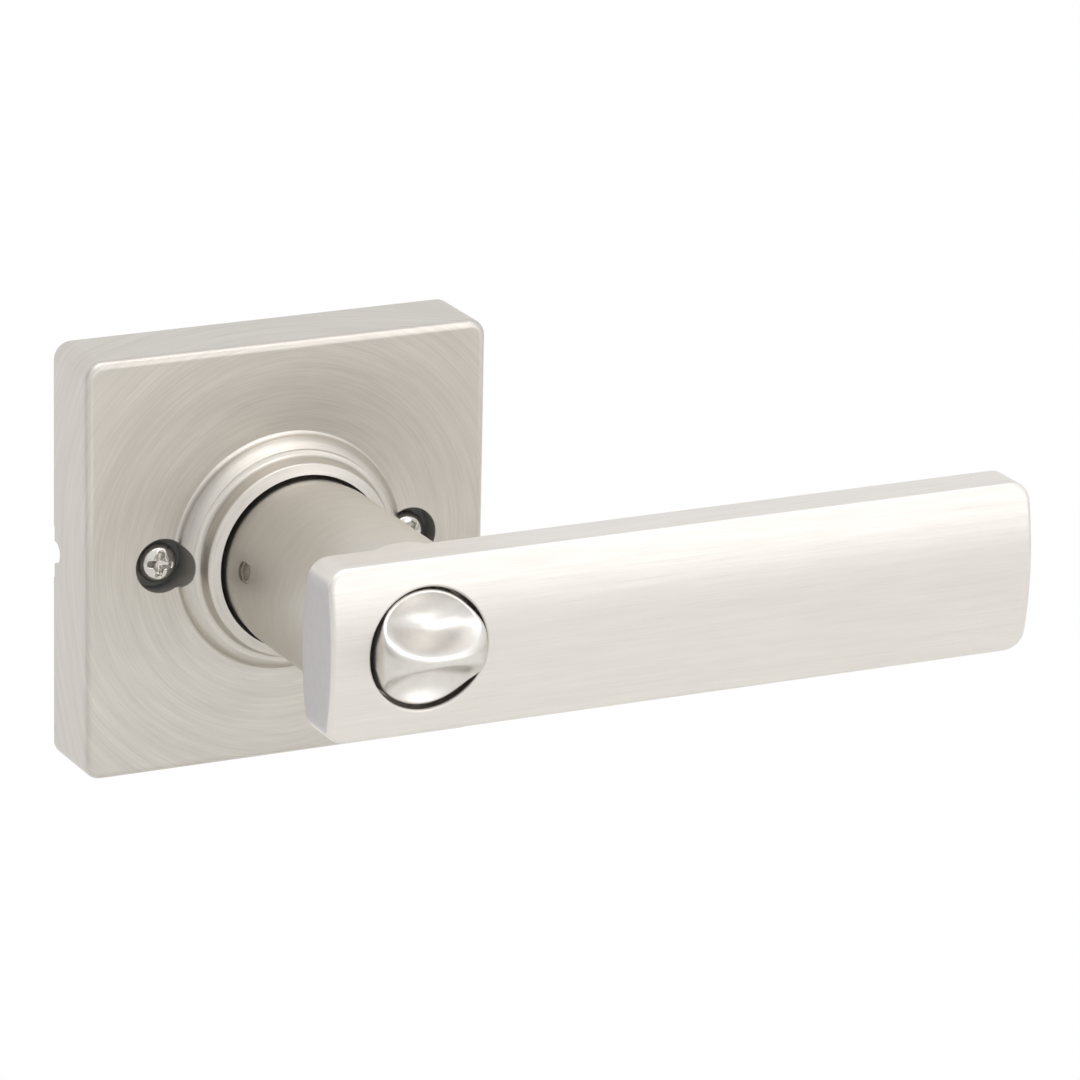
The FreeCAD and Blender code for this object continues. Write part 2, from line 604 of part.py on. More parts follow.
def snap_ring():
    body = ring(SNAP_RING_R, SNAP_GROOVE_R, SNAP_FRONT, SNAP_BACK)
    half = SNAP_RING_GAP / 2
    return body.cut(block(-half, half, SNAP_FRONT + 1, SNAP_BACK - 1, -SNAP_RING_R - 1, 0))


def thrust_washer():
    front = HOUSING_FRONT + THRUST_WASHER_THICKNESS
    return ring(THRUST_WASHER_R, SLEEVE_R + WASHER_BORE_GAP, front, HOUSING_FRONT)


def spring_washer():
    front = SNAP_FRONT + STACK_GAP + SPRING_WASHER_HEIGHT
    return dished_washer(THRUST_WASHER_R, SLEEVE_R + WASHER_BORE_GAP, front,
                         SPRING_WASHER_HEIGHT, SPRING_WASHER_THICKNESS)


def hub_pin_tools():
    at = SLEEVE_BACK + SPINDLE_SOCKET_DEPTH + (HUB_LENGTH - SPINDLE_SOCKET_DEPTH) / 2
    inner = BLADE_WIDTH / 2 + 2 * BLADE_GAP + 0.4
    length = SLEEVE_R - 0.1 - inner
    up = Part.makeCylinder(HUB_PIN_R, length, vec(0, -at, inner), vec(0, 0, 1))
    down = Part.makeCylinder(HUB_PIN_R, length, vec(0, -at, -inner), vec(0, 0, -1))
    return Part.makeCompound([up, down])


def blade_hole(front, back):
    return rod(BLADE_WIDTH / 2 + BLADE_GAP, front, back)


def spindle_hub():
    """Cast plug with a square socket for the spindle and a round hole for the blade."""
    front = SLEEVE_BACK + HUB_LENGTH
    half = SPINDLE_SQUARE / 2
    body = rod(SLEEVE_BORE_R - SNUG_GAP, front, SLEEVE_BACK)
    body = body.cut(block(-half, half, SLEEVE_BACK + SPINDLE_SOCKET_DEPTH, SLEEVE_BACK - 1, -half, half))
    body = body.cut(blade_hole(front + 1, SLEEVE_BACK))
    return body.cut(hub_pin_tools())


def hub_pins():
    return hub_pin_tools()


def catch_guide():
    body = rod(SLEEVE_BORE_R - SNUG_GAP, GUIDE_FRONT, GUIDE_FRONT - GUIDE_LENGTH)
    body = body.cut(blade_hole(GUIDE_FRONT + 1, GUIDE_FRONT - GUIDE_LENGTH - 1))
    pocket_r = CATCH_HEAD_R + RUNNING_FIT
    return body.cut(radial_rod(pocket_r, GUIDE_POCKET_FLOOR_R, SLEEVE_BORE_R + 1, CATCH_Y, CATCH_RISE_DEG))


def detent_spring():
    """Hairpin leaf that clasps the flats of the button's stem."""
    wall_r = CLIP_CHAMBER_R - STACK_GAP
    leaf_in = STEM_FLAT + SNUG_GAP
    leaf_out = leaf_in + DETENT_LEAF
    back = DETENT_FRONT - DETENT_WIDTH
    loop = ring(wall_r, wall_r - DETENT_LEAF, DETENT_FRONT, back)
    loop = loop.common(block(-wall_r, 0, DETENT_FRONT, back, -leaf_out, leaf_out))
    start = -math.sqrt(wall_r ** 2 - leaf_out ** 2)
    upper = block(start, STEM_R, DETENT_FRONT, back, leaf_in, leaf_out)
    lower = block(start, STEM_R, DETENT_FRONT, back, -leaf_out, -leaf_in)
    return loop.fuse([upper, lower]).removeSplitter()


# Slides in the neck

def lever_catch():
    head = radial_rod(CATCH_HEAD_R, CATCH_HEAD_INNER, CATCH_HEAD_OUTER, CATCH_Y, CATCH_RISE_DEG)
    nose = radial_rod(CATCH_NOSE_R, CATCH_HEAD_INNER, CATCH_TIP_R, CATCH_Y, CATCH_RISE_DEG)
    return head.fuse(nose).removeSplitter()


def catch_spring():
    length = CATCH_HEAD_INNER - GUIDE_POCKET_FLOOR_R - 2 * CATCH_SPRING_WIRE_R
    pitch = length / CATCH_SPRING_TURNS
    solid = coil(CATCH_SPRING_WIRE_R, CATCH_HEAD_R - 4 * STACK_GAP, pitch, CATCH_SPRING_TURNS)
    solid.rotate(vec(0, 0, 0), vec(0, 1, 0), -90)
    solid.translate(vec(-GUIDE_POCKET_FLOOR_R - CATCH_SPRING_WIRE_R, -CATCH_Y, 0))
    solid.rotate(vec(0, 0, 0), vec(0, 1, 0), CATCH_RISE_DEG)
    return solid


# Turns with the button

def button_ridge():
    """Half-round finger ridge that stands on edge, with a full-round crest and flared roots."""
    half = RIDGE_WIDTH / 2
    crest = BUTTON_RIM + RIDGE_HEIGHT
    wheel = turned([(0, half), (BUTTON_R - half, half), (BUTTON_R, 0, BUTTON_R - half, -half), (0, -half)])
    wheel.rotate(vec(0, 0, 0), vec(1, 0, 0), 90)
    wheel.translate(vec(0, BUTTON_R - crest, 0))
    edges = []
    for side in (-1, 1):
        foot = vec(0, -BUTTON_RIM, side * (half + RIDGE_ROOT_R))
        bow = RIDGE_ROOT_R * (1 - math.sqrt(0.5))
        wall = vec(0, -BUTTON_RIM - RIDGE_ROOT_R, side * half)
        edges.append(Part.Arc(foot, vec(0, -BUTTON_RIM - bow, side * (half + bow)), wall).toShape())
        edges.append(Part.makeLine(foot, vec(0, -BUTTON_RIM + BUTTON_RIM_R, foot.z)))
    for y, z in ((-BUTTON_RIM - RIDGE_ROOT_R, half), (-BUTTON_RIM + BUTTON_RIM_R, half + RIDGE_ROOT_R)):
        edges.append(Part.makeLine(vec(0, y, -z), vec(0, y, z)))
    root = Part.Face(Part.Wire(Part.__sortEdges__(edges))).extrude(vec(2 * BUTTON_R, 0, 0))
    root.translate(vec(-BUTTON_R, 0, 0))
    root = root.common(rounded_disc(BUTTON_RIM + RIDGE_ROOT_R, BUTTON_BACK, RIDGE_END_R))
    return wheel.common(rod(BUTTON_R, crest + 1, BUTTON_BACK)).fuse(root)


def rounded_disc(front, back, edge_r):
    disc = rod(BUTTON_R, front, back)
    return disc.makeFillet(edge_r, [e for e in disc.Edges if abs(e.BoundBox.YMax + front) < 0.01])


def turn_button():
    body = rounded_disc(BUTTON_RIM, BUTTON_BACK, BUTTON_RIM_R).fuse(button_ridge())
    body = body.fuse(rod(STEM_R, BUTTON_BACK, STEM_BACK))
    body = body.cut(ring(STEM_R + 1, STEM_GROOVE_R, CLIP_FRONT, CLIP_FRONT - CLIP_THICKNESS))
    flats = rod(STEM_R + 1, DETENT_FRONT + 0.2, STEM_BACK - 1)
    core = block(-STEM_FLAT, STEM_FLAT, DETENT_FRONT + 1, STEM_BACK - 2, -STEM_FLAT, STEM_FLAT)
    body = body.cut(flats.cut(core))
    return body.cut(blade_bar())


def blade_bar():
    return block(-BLADE_WIDTH / 2, BLADE_WIDTH / 2, STEM_BACK + BLADE_SEAT, -BLADE_REACH,
                 -BLADE_THICKNESS / 2, BLADE_THICKNESS / 2)


def turn_blade():
    return blade_bar()


def button_clip():
    body = ring(CLIP_R, STEM_GROOVE_R, CLIP_FRONT, CLIP_FRONT - CLIP_THICKNESS)
    half = CLIP_MOUTH / 2
    return body.cut(block(-half, half, CLIP_FRONT + 1, CLIP_FRONT - CLIP_THICKNESS - 1, -CLIP_R - 1, 0))


def button_washer():
    return dished_washer(BUTTON_WASHER_R, STEM_R + WASHER_BORE_GAP, PARTITION_BACK - STACK_GAP / 2,
                         BUTTON_WASHER_HEIGHT, BUTTON_WASHER_THICKNESS)


NODES = [
    rose_cover, mounting_plate, cassette_housing, cassette_rivets, stop_pins, neck_bearing, mounting_screws,
    return_spring, lever_handle, drive_sleeve, spring_driver, snap_ring, thrust_washer, spring_washer,
    spindle_hub, hub_pins, catch_guide, detent_spring, lever_catch, catch_spring, turn_button, turn_blade,
    button_clip, button_washer,
]

os.makedirs("parts", exist_ok=True)
for make in NODES:
    make().exportStep(os.path.join("parts", make.__name__ + ".step"))
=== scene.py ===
import math

import bmesh
import bpy
from mathutils import Matrix, Vector


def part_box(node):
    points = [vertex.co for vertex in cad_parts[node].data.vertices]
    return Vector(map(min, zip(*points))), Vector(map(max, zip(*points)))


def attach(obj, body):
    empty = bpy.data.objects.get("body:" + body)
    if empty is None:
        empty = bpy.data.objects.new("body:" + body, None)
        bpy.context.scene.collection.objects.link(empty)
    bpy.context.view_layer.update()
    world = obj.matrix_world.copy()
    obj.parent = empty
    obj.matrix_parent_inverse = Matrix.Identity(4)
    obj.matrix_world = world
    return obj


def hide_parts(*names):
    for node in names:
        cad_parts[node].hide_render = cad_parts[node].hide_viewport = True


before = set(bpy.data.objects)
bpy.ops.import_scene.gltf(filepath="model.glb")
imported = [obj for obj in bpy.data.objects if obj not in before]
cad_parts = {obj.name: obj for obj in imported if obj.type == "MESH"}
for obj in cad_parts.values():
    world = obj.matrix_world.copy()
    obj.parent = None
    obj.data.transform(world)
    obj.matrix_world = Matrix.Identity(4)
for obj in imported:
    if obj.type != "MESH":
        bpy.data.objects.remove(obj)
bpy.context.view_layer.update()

# ---------------------------------------------------------------------------
# The room: a camera, soft daylight-white lamps, a plain pale floor and the white
# door face that the rose is screwed to. None of it belongs to the handle.
# ---------------------------------------------------------------------------

scene = bpy.context.scene
scene.view_settings.view_transform = "Standard"


def node(tree, kind, settings=None, links=None):
    """Adds one node. What an input takes is a node, for its first output, or a socket, or a plain value."""
    made = tree.nodes.new(kind)
    for name, value in (settings or {}).items():
        setattr(made, name, value)
    for name, value in (links or {}).items():
        if isinstance(value, bpy.types.Node):
            value = value.outputs[0]
        if isinstance(value, bpy.types.NodeSocket):
            tree.links.new(value, made.inputs[name])
        else:
            made.inputs[name].default_value = value
    return made


def colour(text):
    """sRGB hex to a linear colour with alpha 1."""
    parts = [int(text[i:i + 2], 16) / 255 for i in (1, 3, 5)]
    return [p / 12.92 if p <= 0.04045 else ((p + 0.055) / 1.055) ** 2.4 for p in parts] + [1.0]


def new_material(name):
    material = bpy.data.materials.new(name)
    material.use_nodes = True
    material.node_tree.nodes.clear()
    return material, material.node_tree


def new_object(name, mesh):
    made = bpy.data.objects.new(name, mesh)
    scene.collection.objects.link(made)
    return made


def flat_sheet(name, corners, material):
    mesh = bpy.data.meshes.new(name)
    mesh.from_pydata(corners, [], [list(range(len(corners)))])
    mesh.materials.append(material)
    return new_object(name, mesh)


CAMERA_AIM = Vector((0.0393, -0.0198, -0.0011))
CAMERA_DISTANCE = 1.100
CAMERA_HEADING = math.radians(26.18)
CAMERA_DROP = math.radians(17.89)
CAMERA_ROLL = math.radians(1.21)
CAMERA_LENS = 238.9

forward = Vector((math.sin(CAMERA_HEADING) * math.cos(CAMERA_DROP),
                  math.cos(CAMERA_HEADING) * math.cos(CAMERA_DROP), -math.sin(CAMERA_DROP)))
camera_data = bpy.data.cameras.new("camera")
camera_data.sensor_width = 36.0
camera_data.lens = CAMERA_LENS
camera = bpy.data.objects.new("camera", camera_data)
turn = forward.to_track_quat("-Z", "Y").to_matrix() @ Matrix.Rotation(CAMERA_ROLL, 3, "Z")
camera.matrix_world = Matrix.Translation(CAMERA_AIM - forward * CAMERA_DISTANCE) @ turn.to_4x4()
scene.collection.objects.link(camera)
scene.camera = camera

# The room is darker to the left and behind, so that spun and linished metal shows its light and dark fans.
ROOM_DARK = 0.50
ROOM_BRIGHT = 1.05
world = bpy.data.worlds.new("pale room")
world.use_nodes = True
world.node_tree.nodes.clear()
scene.world = world
way = node(world.node_tree, "ShaderNodeTexCoord").outputs["Generated"]
towards = node(world.node_tree, "ShaderNodeVectorMath", {"operation": "DOT_PRODUCT"},
               {0: way, 1: (0.36, -0.74, 0.57)}).outputs["Value"]
level = node(world.node_tree, "ShaderNodeMapRange", {"interpolation_type": "SMOOTHSTEP"},
             {"Value": towards, "From Min": -0.3, "From Max": 0.8, "To Min": ROOM_DARK, "To Max": ROOM_BRIGHT})
sky = node(world.node_tree, "ShaderNodeBackground", links={"Color": colour("#ffffff"), "Strength": level})
node(world.node_tree, "ShaderNodeOutputWorld", links={"Surface": sky})


def softbox(name, place, size, watts):
    """A rectangular lamp that faces the origin."""
    data = bpy.data.lights.new(name, "AREA")
    data.shape = "RECTANGLE"
    data.size, data.size_y = size
    data.energy = watts
    made = new_object(name, data)
    facing = (-Vector(place)).to_track_quat("-Z", "Y").to_matrix().to_4x4()
    made.matrix_world = Matrix.Translation(place) @ facing


softbox("front_strip", (0.75, -1.50, 0.45), (0.70, 1.9), 4.6)
softbox("overhead", (0.10, -0.45, 1.30), (0.9, 1.0), 4.6)

FLOOR_DROP = 0.12
FLOOR_HALF = 3.0
floor_paint, tree = new_material("pale grey floor")
shader = node(tree, "ShaderNodeBsdfPrincipled", links={"Base Color": colour("#ececea"), "Roughness": 0.8})
node(tree, "ShaderNodeOutputMaterial", links={"Surface": shader})
floor_corners = [(-1, -1), (1, -1), (1, 1), (-1, 1)]
floor = flat_sheet("floor", [(x * FLOOR_HALF, y * FLOOR_HALF, -FLOOR_DROP) for x, y in floor_corners],
                   floor_paint)

# The door face is white to the camera and in the metal, and clear from behind, where the back of the
# rose is looked at.
DOOR_HALF = 0.5
DOOR_GAP = 0.0002
door_paint, tree = new_material("white door face")
paint = node(tree, "ShaderNodeBsdfPrincipled", links={"Base Color": colour("#e6e6e4"), "Roughness": 0.8})
glow = node(tree, "ShaderNodeEmission", links={"Color": colour("#ffffff"), "Strength": 1.0})
clear = node(tree, "ShaderNodeBsdfTransparent")
ray = node(tree, "ShaderNodeLightPath")
side = node(tree, "ShaderNodeNewGeometry")
mirrored = node(tree, "ShaderNodeMath", {"operation": "MAXIMUM"},
                {0: ray.outputs["Is Glossy Ray"], 1: ray.outputs["Is Transmission Ray"]})
seen = node(tree, "ShaderNodeMath", {"operation": "MAXIMUM"},
            {0: ray.outputs["Is Camera Ray"], 1: mirrored.outputs[0]})
front = node(tree, "ShaderNodeMixShader", links={0: seen.outputs[0], 1: paint.outputs[0], 2: glow.outputs[0]})
both = node(tree, "ShaderNodeMixShader",
            links={0: side.outputs["Backfacing"], 1: front.outputs[0], 2: clear.outputs[0]})
node(tree, "ShaderNodeOutputMaterial", links={"Surface": both.outputs[0]})
door = flat_sheet("door_face", [(-DOOR_HALF, DOOR_GAP, -FLOOR_DROP), (DOOR_HALF, DOOR_GAP, -FLOOR_DROP),
                                (DOOR_HALF, DOOR_GAP, DOOR_HALF), (-DOOR_HALF, DOOR_GAP, DOOR_HALF)], door_paint)

# ---------------------------------------------------------------------------
# Rose: a square shell of die-cast zinc with a turned collar around the neck. It is spun against an
# abrasive pad and plated satin nickel, and two screws through its counterbores hold it to the door.
# ---------------------------------------------------------------------------

# Painted shade: the rose's satin nickel is toned darker than the lever arm's.
ROSE_SHADED_NICKEL = "#cdc8c1"
BORE_SHADE_GREY = "#8f8a85"
BORE_METAL = 0.35
CAST_ZINC = "#8f8f8d"
RING_MM = 0.20
RING_BAND_MM = 1.5
STROKES_ROUND = 2.5
SCREW_X = 0.0206
BORE_R = 0.00432
ROSE_INNER_HALF = 0.0313
ROSE_CEILING = -0.0110


def on_piece(tree):
    """Object coordinates, in metres, and their three parts."""
    place = node(tree, "ShaderNodeTexCoord").outputs["Object"]
    return place, node(tree, "ShaderNodeSeparateXYZ", links={"Vector": place}).outputs


def spun_coordinates(tree, ring_mm):
    """Noise read here makes rings about the spindle: radius and depth run fast, the angle slowly."""
    place, parts = on_piece(tree)
    flat = node(tree, "ShaderNodeVectorMath", {"operation": "MULTIPLY"}, {0: place, 1: (1, 0, 1)})
    radius = node(tree, "ShaderNodeVectorMath", {"operation": "LENGTH"}, {0: flat}).outputs["Value"]
    around = node(tree, "ShaderNodeVectorMath", {"operation": "NORMALIZE"}, {0: flat})
    slow = node(tree, "ShaderNodeVectorMath", {"operation": "MULTIPLY"}, {0: around, 1: (STROKES_ROUND,) * 3})
    reach = node(tree, "ShaderNodeMath", {"operation": "ADD"}, {0: radius, 1: parts["Y"]})
    fast = node(tree, "ShaderNodeMath", {"operation": "MULTIPLY"}, {0: reach, 1: 1000.0 / ring_mm})
    step = node(tree, "ShaderNodeCombineXYZ", links={"Y": fast})
    return node(tree, "ShaderNodeVectorMath", {"operation": "ADD"}, {0: slow, 1: step})


def spun_direction(tree):
    """The way of the rings at each point, as a unit direction in the room for the shader's tangent."""
    place, parts = on_piece(tree)
    across = node(tree, "ShaderNodeVectorMath", {"operation": "CROSS_PRODUCT"}, {0: (0, 1, 0), 1: place})
    turned = node(tree, "ShaderNodeVectorTransform",
                  {"vector_type": "VECTOR", "convert_from": "OBJECT", "convert_to": "WORLD"}, {"Vector": across})
    return node(tree, "ShaderNodeVectorMath", {"operation": "NORMALIZE"}, {0: turned})


def brushed_nickel(tree, bare, fine_place, band_place, direction, rough, contrast, metal=1.0):
    """Brushed plating: hairlines of tone, roughness and relief along one direction, in soft wider bands."""
    fine = node(tree, "ShaderNodeTexNoise", links={"Vector": fine_place, "Scale": 1.0, "Detail": 3.0,
                                                   "Roughness": 0.6})
    band = node(tree, "ShaderNodeTexNoise", links={"Vector": band_place, "Scale": 1.0, "Detail": 2.0})
    lines = node(tree, "ShaderNodeMapRange", links={"Value": fine, "From Min": 0.25, "From Max": 0.75,
                                                    "To Min": 1.0 - contrast, "To Max": 1.0 + contrast})
    bands = node(tree, "ShaderNodeMapRange", links={"Value": band, "From Min": 0.3, "From Max": 0.7,
                                                    "To Min": 1.0 - contrast / 2, "To Max": 1.0 + contrast / 2})
    tone = node(tree, "ShaderNodeMath", {"operation": "MULTIPLY"}, {0: lines, 1: bands})
    tinted = node(tree, "ShaderNodeVectorMath", {"operation": "SCALE"}, {0: bare, "Scale": tone})
    matt = node(tree, "ShaderNodeMapRange", links={"Value": fine, "From Min": 0.25, "From Max": 0.75,
                                                   "To Min": rough + 0.05, "To Max": rough - 0.05})
    relief = node(tree, "ShaderNodeBump", links={"Strength": 0.35, "Distance": 0.00002, "Height": fine})
    shader = node(tree, "ShaderNodeBsdfPrincipled", links={
        "Base Color": tinted, "Metallic": metal, "Roughness": matt, "Anisotropic": 0.75, "Tangent": direction,
        "Normal": relief})
    node(tree, "ShaderNodeOutputMaterial", links={"Surface": shader})


def dress(name, material):
    """Puts a material in the slot of a CAD node's object."""
    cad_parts[name].material_slots[0].material = material


def in_bore(tree):
    """1 inside either counterbore, from the distance to the nearer screw's axis."""
    place, parts = on_piece(tree)
    side = node(tree, "ShaderNodeMath", {"operation": "ABSOLUTE"}, {0: parts["X"]})
    across = node(tree, "ShaderNodeMath", {"operation": "SUBTRACT"}, {0: side, 1: SCREW_X})
    reach = node(tree, "ShaderNodeCombineXYZ", links={"X": across, "Z": parts["Z"]})
    length = node(tree, "ShaderNodeVectorMath", {"operation": "LENGTH"}, {0: reach}).outputs["Value"]
    return node(tree, "ShaderNodeMath", {"operation": "LESS_THAN"}, {0: length, 1: BORE_R})


def in_shell(tree):
    """1 on the unseen inside of the shell, which keeps its skin as cast."""
    place, parts = on_piece(tree)
    wide = node(tree, "ShaderNodeMath", {"operation": "ABSOLUTE"}, {0: parts["X"]})
    high = node(tree, "ShaderNodeMath", {"operation": "ABSOLUTE"}, {0: parts["Z"]})
    reach = node(tree, "ShaderNodeMath", {"operation": "MAXIMUM"}, {0: wide, 1: high})
    within = node(tree, "ShaderNodeMath", {"operation": "LESS_THAN"}, {0: reach, 1: ROSE_INNER_HALF})
    behind = node(tree, "ShaderNodeMath", {"operation": "GREATER_THAN"}, {0: parts["Y"], 1: ROSE_CEILING})
    return node(tree, "ShaderNodeMath", {"operation": "MULTIPLY"}, {0: within, 1: behind})


# Satin nickel over spun zinc: fine rings and a soft sheen in fans that swing round with the light, a darker,
# less metallic grey painted into the counterbores as shade for the deep wells, and bare casting inside.
rose_nickel, tree = new_material("satin nickel, spun")
# Painted shade: inside the counterbores the colour turns to a darker grey and the metal drops, standing in for the
# shade in the wells.
plated = node(tree, "ShaderNodeMix", {"data_type": "RGBA"},
              {0: in_bore(tree), 6: colour(ROSE_SHADED_NICKEL), 7: colour(BORE_SHADE_GREY)}).outputs[2]
bare = node(tree, "ShaderNodeMix", {"data_type": "RGBA"},
            {0: in_shell(tree), 6: plated, 7: colour(CAST_ZINC)}).outputs[2]
metal = node(tree, "ShaderNodeMapRange", links={"Value": in_bore(tree), "To Min": 1.0, "To Max": BORE_METAL})
brushed_nickel(tree, bare, spun_coordinates(tree, RING_MM), spun_coordinates(tree, RING_BAND_MM),
               spun_direction(tree), 0.38, 0.08, metal)
dress("rose_cover", rose_nickel)

# ---------------------------------------------------------------------------
# Mounting plate: stamped steel, zinc plated, that backs the rose. The spring cassette is held to it by four
# rivets with domed heads, closed over at the back.
# ---------------------------------------------------------------------------

ZINC_PLATE = "#a9adb0"
ZINC_CLOUD = "#b9b8b0"
SPANGLE_MM = 2.5
GRAIN_MM = 0.12


def plated_steel(name, base, tint, rough):
    """Zinc plating on steel: blue-grey, with faint straw clouds and a fine grain."""
    material, tree = new_material(name)
    place, parts = on_piece(tree)
    clouds = node(tree, "ShaderNodeTexNoise", links={"Vector": place, "Scale": 1000.0 / SPANGLE_MM, "Detail": 3.0})
    grain = node(tree, "ShaderNodeTexNoise", links={"Vector": place, "Scale": 1000.0 / GRAIN_MM, "Detail": 2.0})
    share = node(tree, "ShaderNodeMapRange", links={"Value": clouds, "From Min": 0.4, "From Max": 0.7})
    tone = node(tree, "ShaderNodeMix", {"data_type": "RGBA"}, {0: share, 6: colour(base), 7: colour(tint)})
    matt = node(tree, "ShaderNodeMapRange", links={"Value": clouds, "From Min": 0.3, "From Max": 0.7,
                                                   "To Min": rough - 0.06, "To Max": rough + 0.08})
    relief = node(tree, "ShaderNodeBump", links={"Strength": 0.3, "Distance": 0.00001, "Height": grain})
    shader = node(tree, "ShaderNodeBsdfPrincipled", links={
        "Base Color": tone.outputs[2], "Metallic": 1.0, "Roughness": matt, "Normal": relief})
    node(tree, "ShaderNodeOutputMaterial", links={"Surface": shader})
    return material


zinc_plate = plated_steel("zinc-plated steel", ZINC_PLATE, ZINC_CLOUD, 0.36)
dress("mounting_plate", zinc_plate)

RIVET_HEAD_R = 0.0024
RIVET_HEAD_RISE = 0.0008
RIVET_SIDES = 32


def turned_mesh(name, outline, sides):
    """Closed solid turned about Y from points of (radius, y). The first and last lie on the axis."""
    mesh = bmesh.new()
    rows = []
    for radius, y in outline:
        if radius == 0:
            rows.append([mesh.verts.new((0, y, 0))])
        else:
            rows.append([mesh.verts.new((radius * math.cos(a), y, radius * math.sin(a)))
                         for a in (math.tau * i / sides for i in range(sides))])
    for low, high in zip(rows, rows[1:]):
        for i in range(sides):
            j = (i + 1) % sides
            corners = [low[i % len(low)], low[j % len(low)], high[j % len(high)], high[i % len(high)]]
            mesh.faces.new(list(dict.fromkeys(corners)))
    bmesh.ops.recalc_face_normals(mesh, faces=mesh.faces)
    data = bpy.data.meshes.new(name)
    mesh.to_mesh(data)
    mesh.free()
    return data


def smooth_by_angle(mesh, degrees):
    """Smooth shading that breaks at edges sharper than the angle."""
    mesh.polygons.foreach_set("use_smooth", [True] * len(mesh.polygons))
    mesh.set_sharp_from_angle(angle=math.radians(degrees))


def copies_tree(name, material, per_row, rows):
    """Geometry Nodes that set copies of the mesh they are given on a grid in the door's plane."""
    tree = bpy.data.node_groups.new(name, "GeometryNodeTree")
    ports = tree.interface
    ports.new_socket("Geometry", in_out="INPUT", socket_type="NodeSocketGeometry")
    for label in ("Spacing X", "Spacing Z", "First Turn", "Turn Step"):
        ports.new_socket(label, in_out="INPUT", socket_type="NodeSocketFloat")
    ports.new_socket("Geometry", in_out="OUTPUT", socket_type="NodeSocketGeometry")
    given = node(tree, "NodeGroupInput").outputs
    grid = node(tree, "GeometryNodeMeshGrid", links={"Size X": given["Spacing X"], "Size Y": given["Spacing Z"],
                                                     "Vertices X": per_row, "Vertices Y": rows})
    upright = node(tree, "GeometryNodeTransform", links={"Geometry": grid.outputs["Mesh"],
                                                         "Rotation": (math.pi / 2, 0, 0)})
    count = node(tree, "GeometryNodeInputIndex")
    angle = node(tree, "ShaderNodeMath", {"operation": "MULTIPLY_ADD"},
                 {0: count.outputs[0], 1: given["Turn Step"], 2: given["First Turn"]})
    spin = node(tree, "ShaderNodeCombineXYZ", links={"Y": angle.outputs[0]})
    placed = node(tree, "GeometryNodeInstanceOnPoints", links={
        "Points": upright.outputs[0], "Instance": given["Geometry"], "Rotation": spin.outputs[0]})
    real = node(tree, "GeometryNodeRealizeInstances", links={"Geometry": placed.outputs[0]})
    dressed = node(tree, "GeometryNodeSetMaterial", links={"Geometry": real.outputs[0], "Material": material})
    node(tree, "NodeGroupOutput", links={"Geometry": dressed.outputs[0]})
    return tree


def set_copies(name, mesh, material, grid, sizes):
    """Runs the copies tree on a mesh and gives a plain mesh object."""
    piece = new_object(name, mesh)
    tree = copies_tree(name + " layout", material, *grid)
    modifier = piece.modifiers.new("layout", "NODES")
    modifier.node_group = tree
    for item in tree.interface.items_tree:
        if item.name in sizes:
            modifier[item.identifier] = sizes[item.name]
    view = bpy.context.evaluated_depsgraph_get()
    made = bpy.data.meshes.new_from_object(piece.evaluated_get(view))
    piece.modifiers.clear()
    piece.data = made
    return piece


def rivet_mesh():
    """Shank with a domed head in front and a dimpled, spread tail behind."""
    low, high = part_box("cassette_rivets")
    back = high[1]
    front = low[1]
    seat = front + RIVET_HEAD_RISE
    arc = [(RIVET_HEAD_R * math.sin(t), seat - RIVET_HEAD_RISE * math.cos(t))
           for t in (math.pi / 2 * i / 6 for i in range(1, 7))]
    tail = [(RIVET_HEAD_R, seat + 0.0001), (0.0014, seat + 0.0001), (0.0014, back - 0.0004),
            (RIVET_HEAD_R * 0.95, back - 0.0004), (RIVET_HEAD_R, back - 0.00025), (RIVET_HEAD_R * 0.85, back),
            (0.0009, back), (0.0005, back - 0.0003), (0, back - 0.0004)]
    mesh = turned_mesh("cassette_rivets_domed", [(0, front)] + arc + tail, RIVET_SIDES)
    smooth_by_angle(mesh, 35)
    return mesh


rivet_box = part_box("cassette_rivets")
rivet_steel = plated_steel("zinc-plated rivet steel", "#b4b6b6", ZINC_CLOUD, 0.28)
rivet_gap = rivet_box[1][0] - rivet_box[0][0] - 2 * RIVET_HEAD_R
rivets = set_copies("cassette_rivets_domed", rivet_mesh(), rivet_steel, (2, 2),
                    {"Spacing X": rivet_gap, "Spacing Z": rivet_gap})
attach(rivets, "rose")
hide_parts("cassette_rivets")

# ---------------------------------------------------------------------------
# Spring cassette: a zinc casting that houses the return spring, the pressed driver that the lever turns and
# the two stop pins. A thrust washer, a spring washer and a snap ring hold the drive sleeve in it.
# ---------------------------------------------------------------------------

CAST_FLOW_MM = 6.0
CAST_GRAIN_MM = 0.5


def cast_zinc(name, low, high, rough):
    """Zinc die casting left as cast: matt grey, faintly mottled, with a fine sandy skin."""
    material, tree = new_material(name)
    place, parts = on_piece(tree)
    flow = node(tree, "ShaderNodeTexNoise", links={"Vector": place, "Scale": 1000.0 / CAST_FLOW_MM, "Detail": 3.0})
    sand = node(tree, "ShaderNodeTexNoise", links={"Vector": place, "Scale": 1000.0 / CAST_GRAIN_MM, "Detail": 3.0})
    share = node(tree, "ShaderNodeMapRange", links={"Value": flow, "From Min": 0.35, "From Max": 0.7})
    tone = node(tree, "ShaderNodeMix", {"data_type": "RGBA"}, {0: share, 6: colour(low), 7: colour(high)})
    matt = node(tree, "ShaderNodeMapRange", links={"Value": sand, "From Min": 0.3, "From Max": 0.7,
                                                   "To Min": rough - 0.08, "To Max": rough + 0.08})
    relief = node(tree, "ShaderNodeBump", links={"Strength": 0.5, "Distance": 0.00004, "Height": sand})
    shader = node(tree, "ShaderNodeBsdfPrincipled", links={
        "Base Color": tone.outputs[2], "Metallic": 1.0, "Roughness": matt, "Normal": relief})
    node(tree, "ShaderNodeOutputMaterial", links={"Surface": shader})
    return material


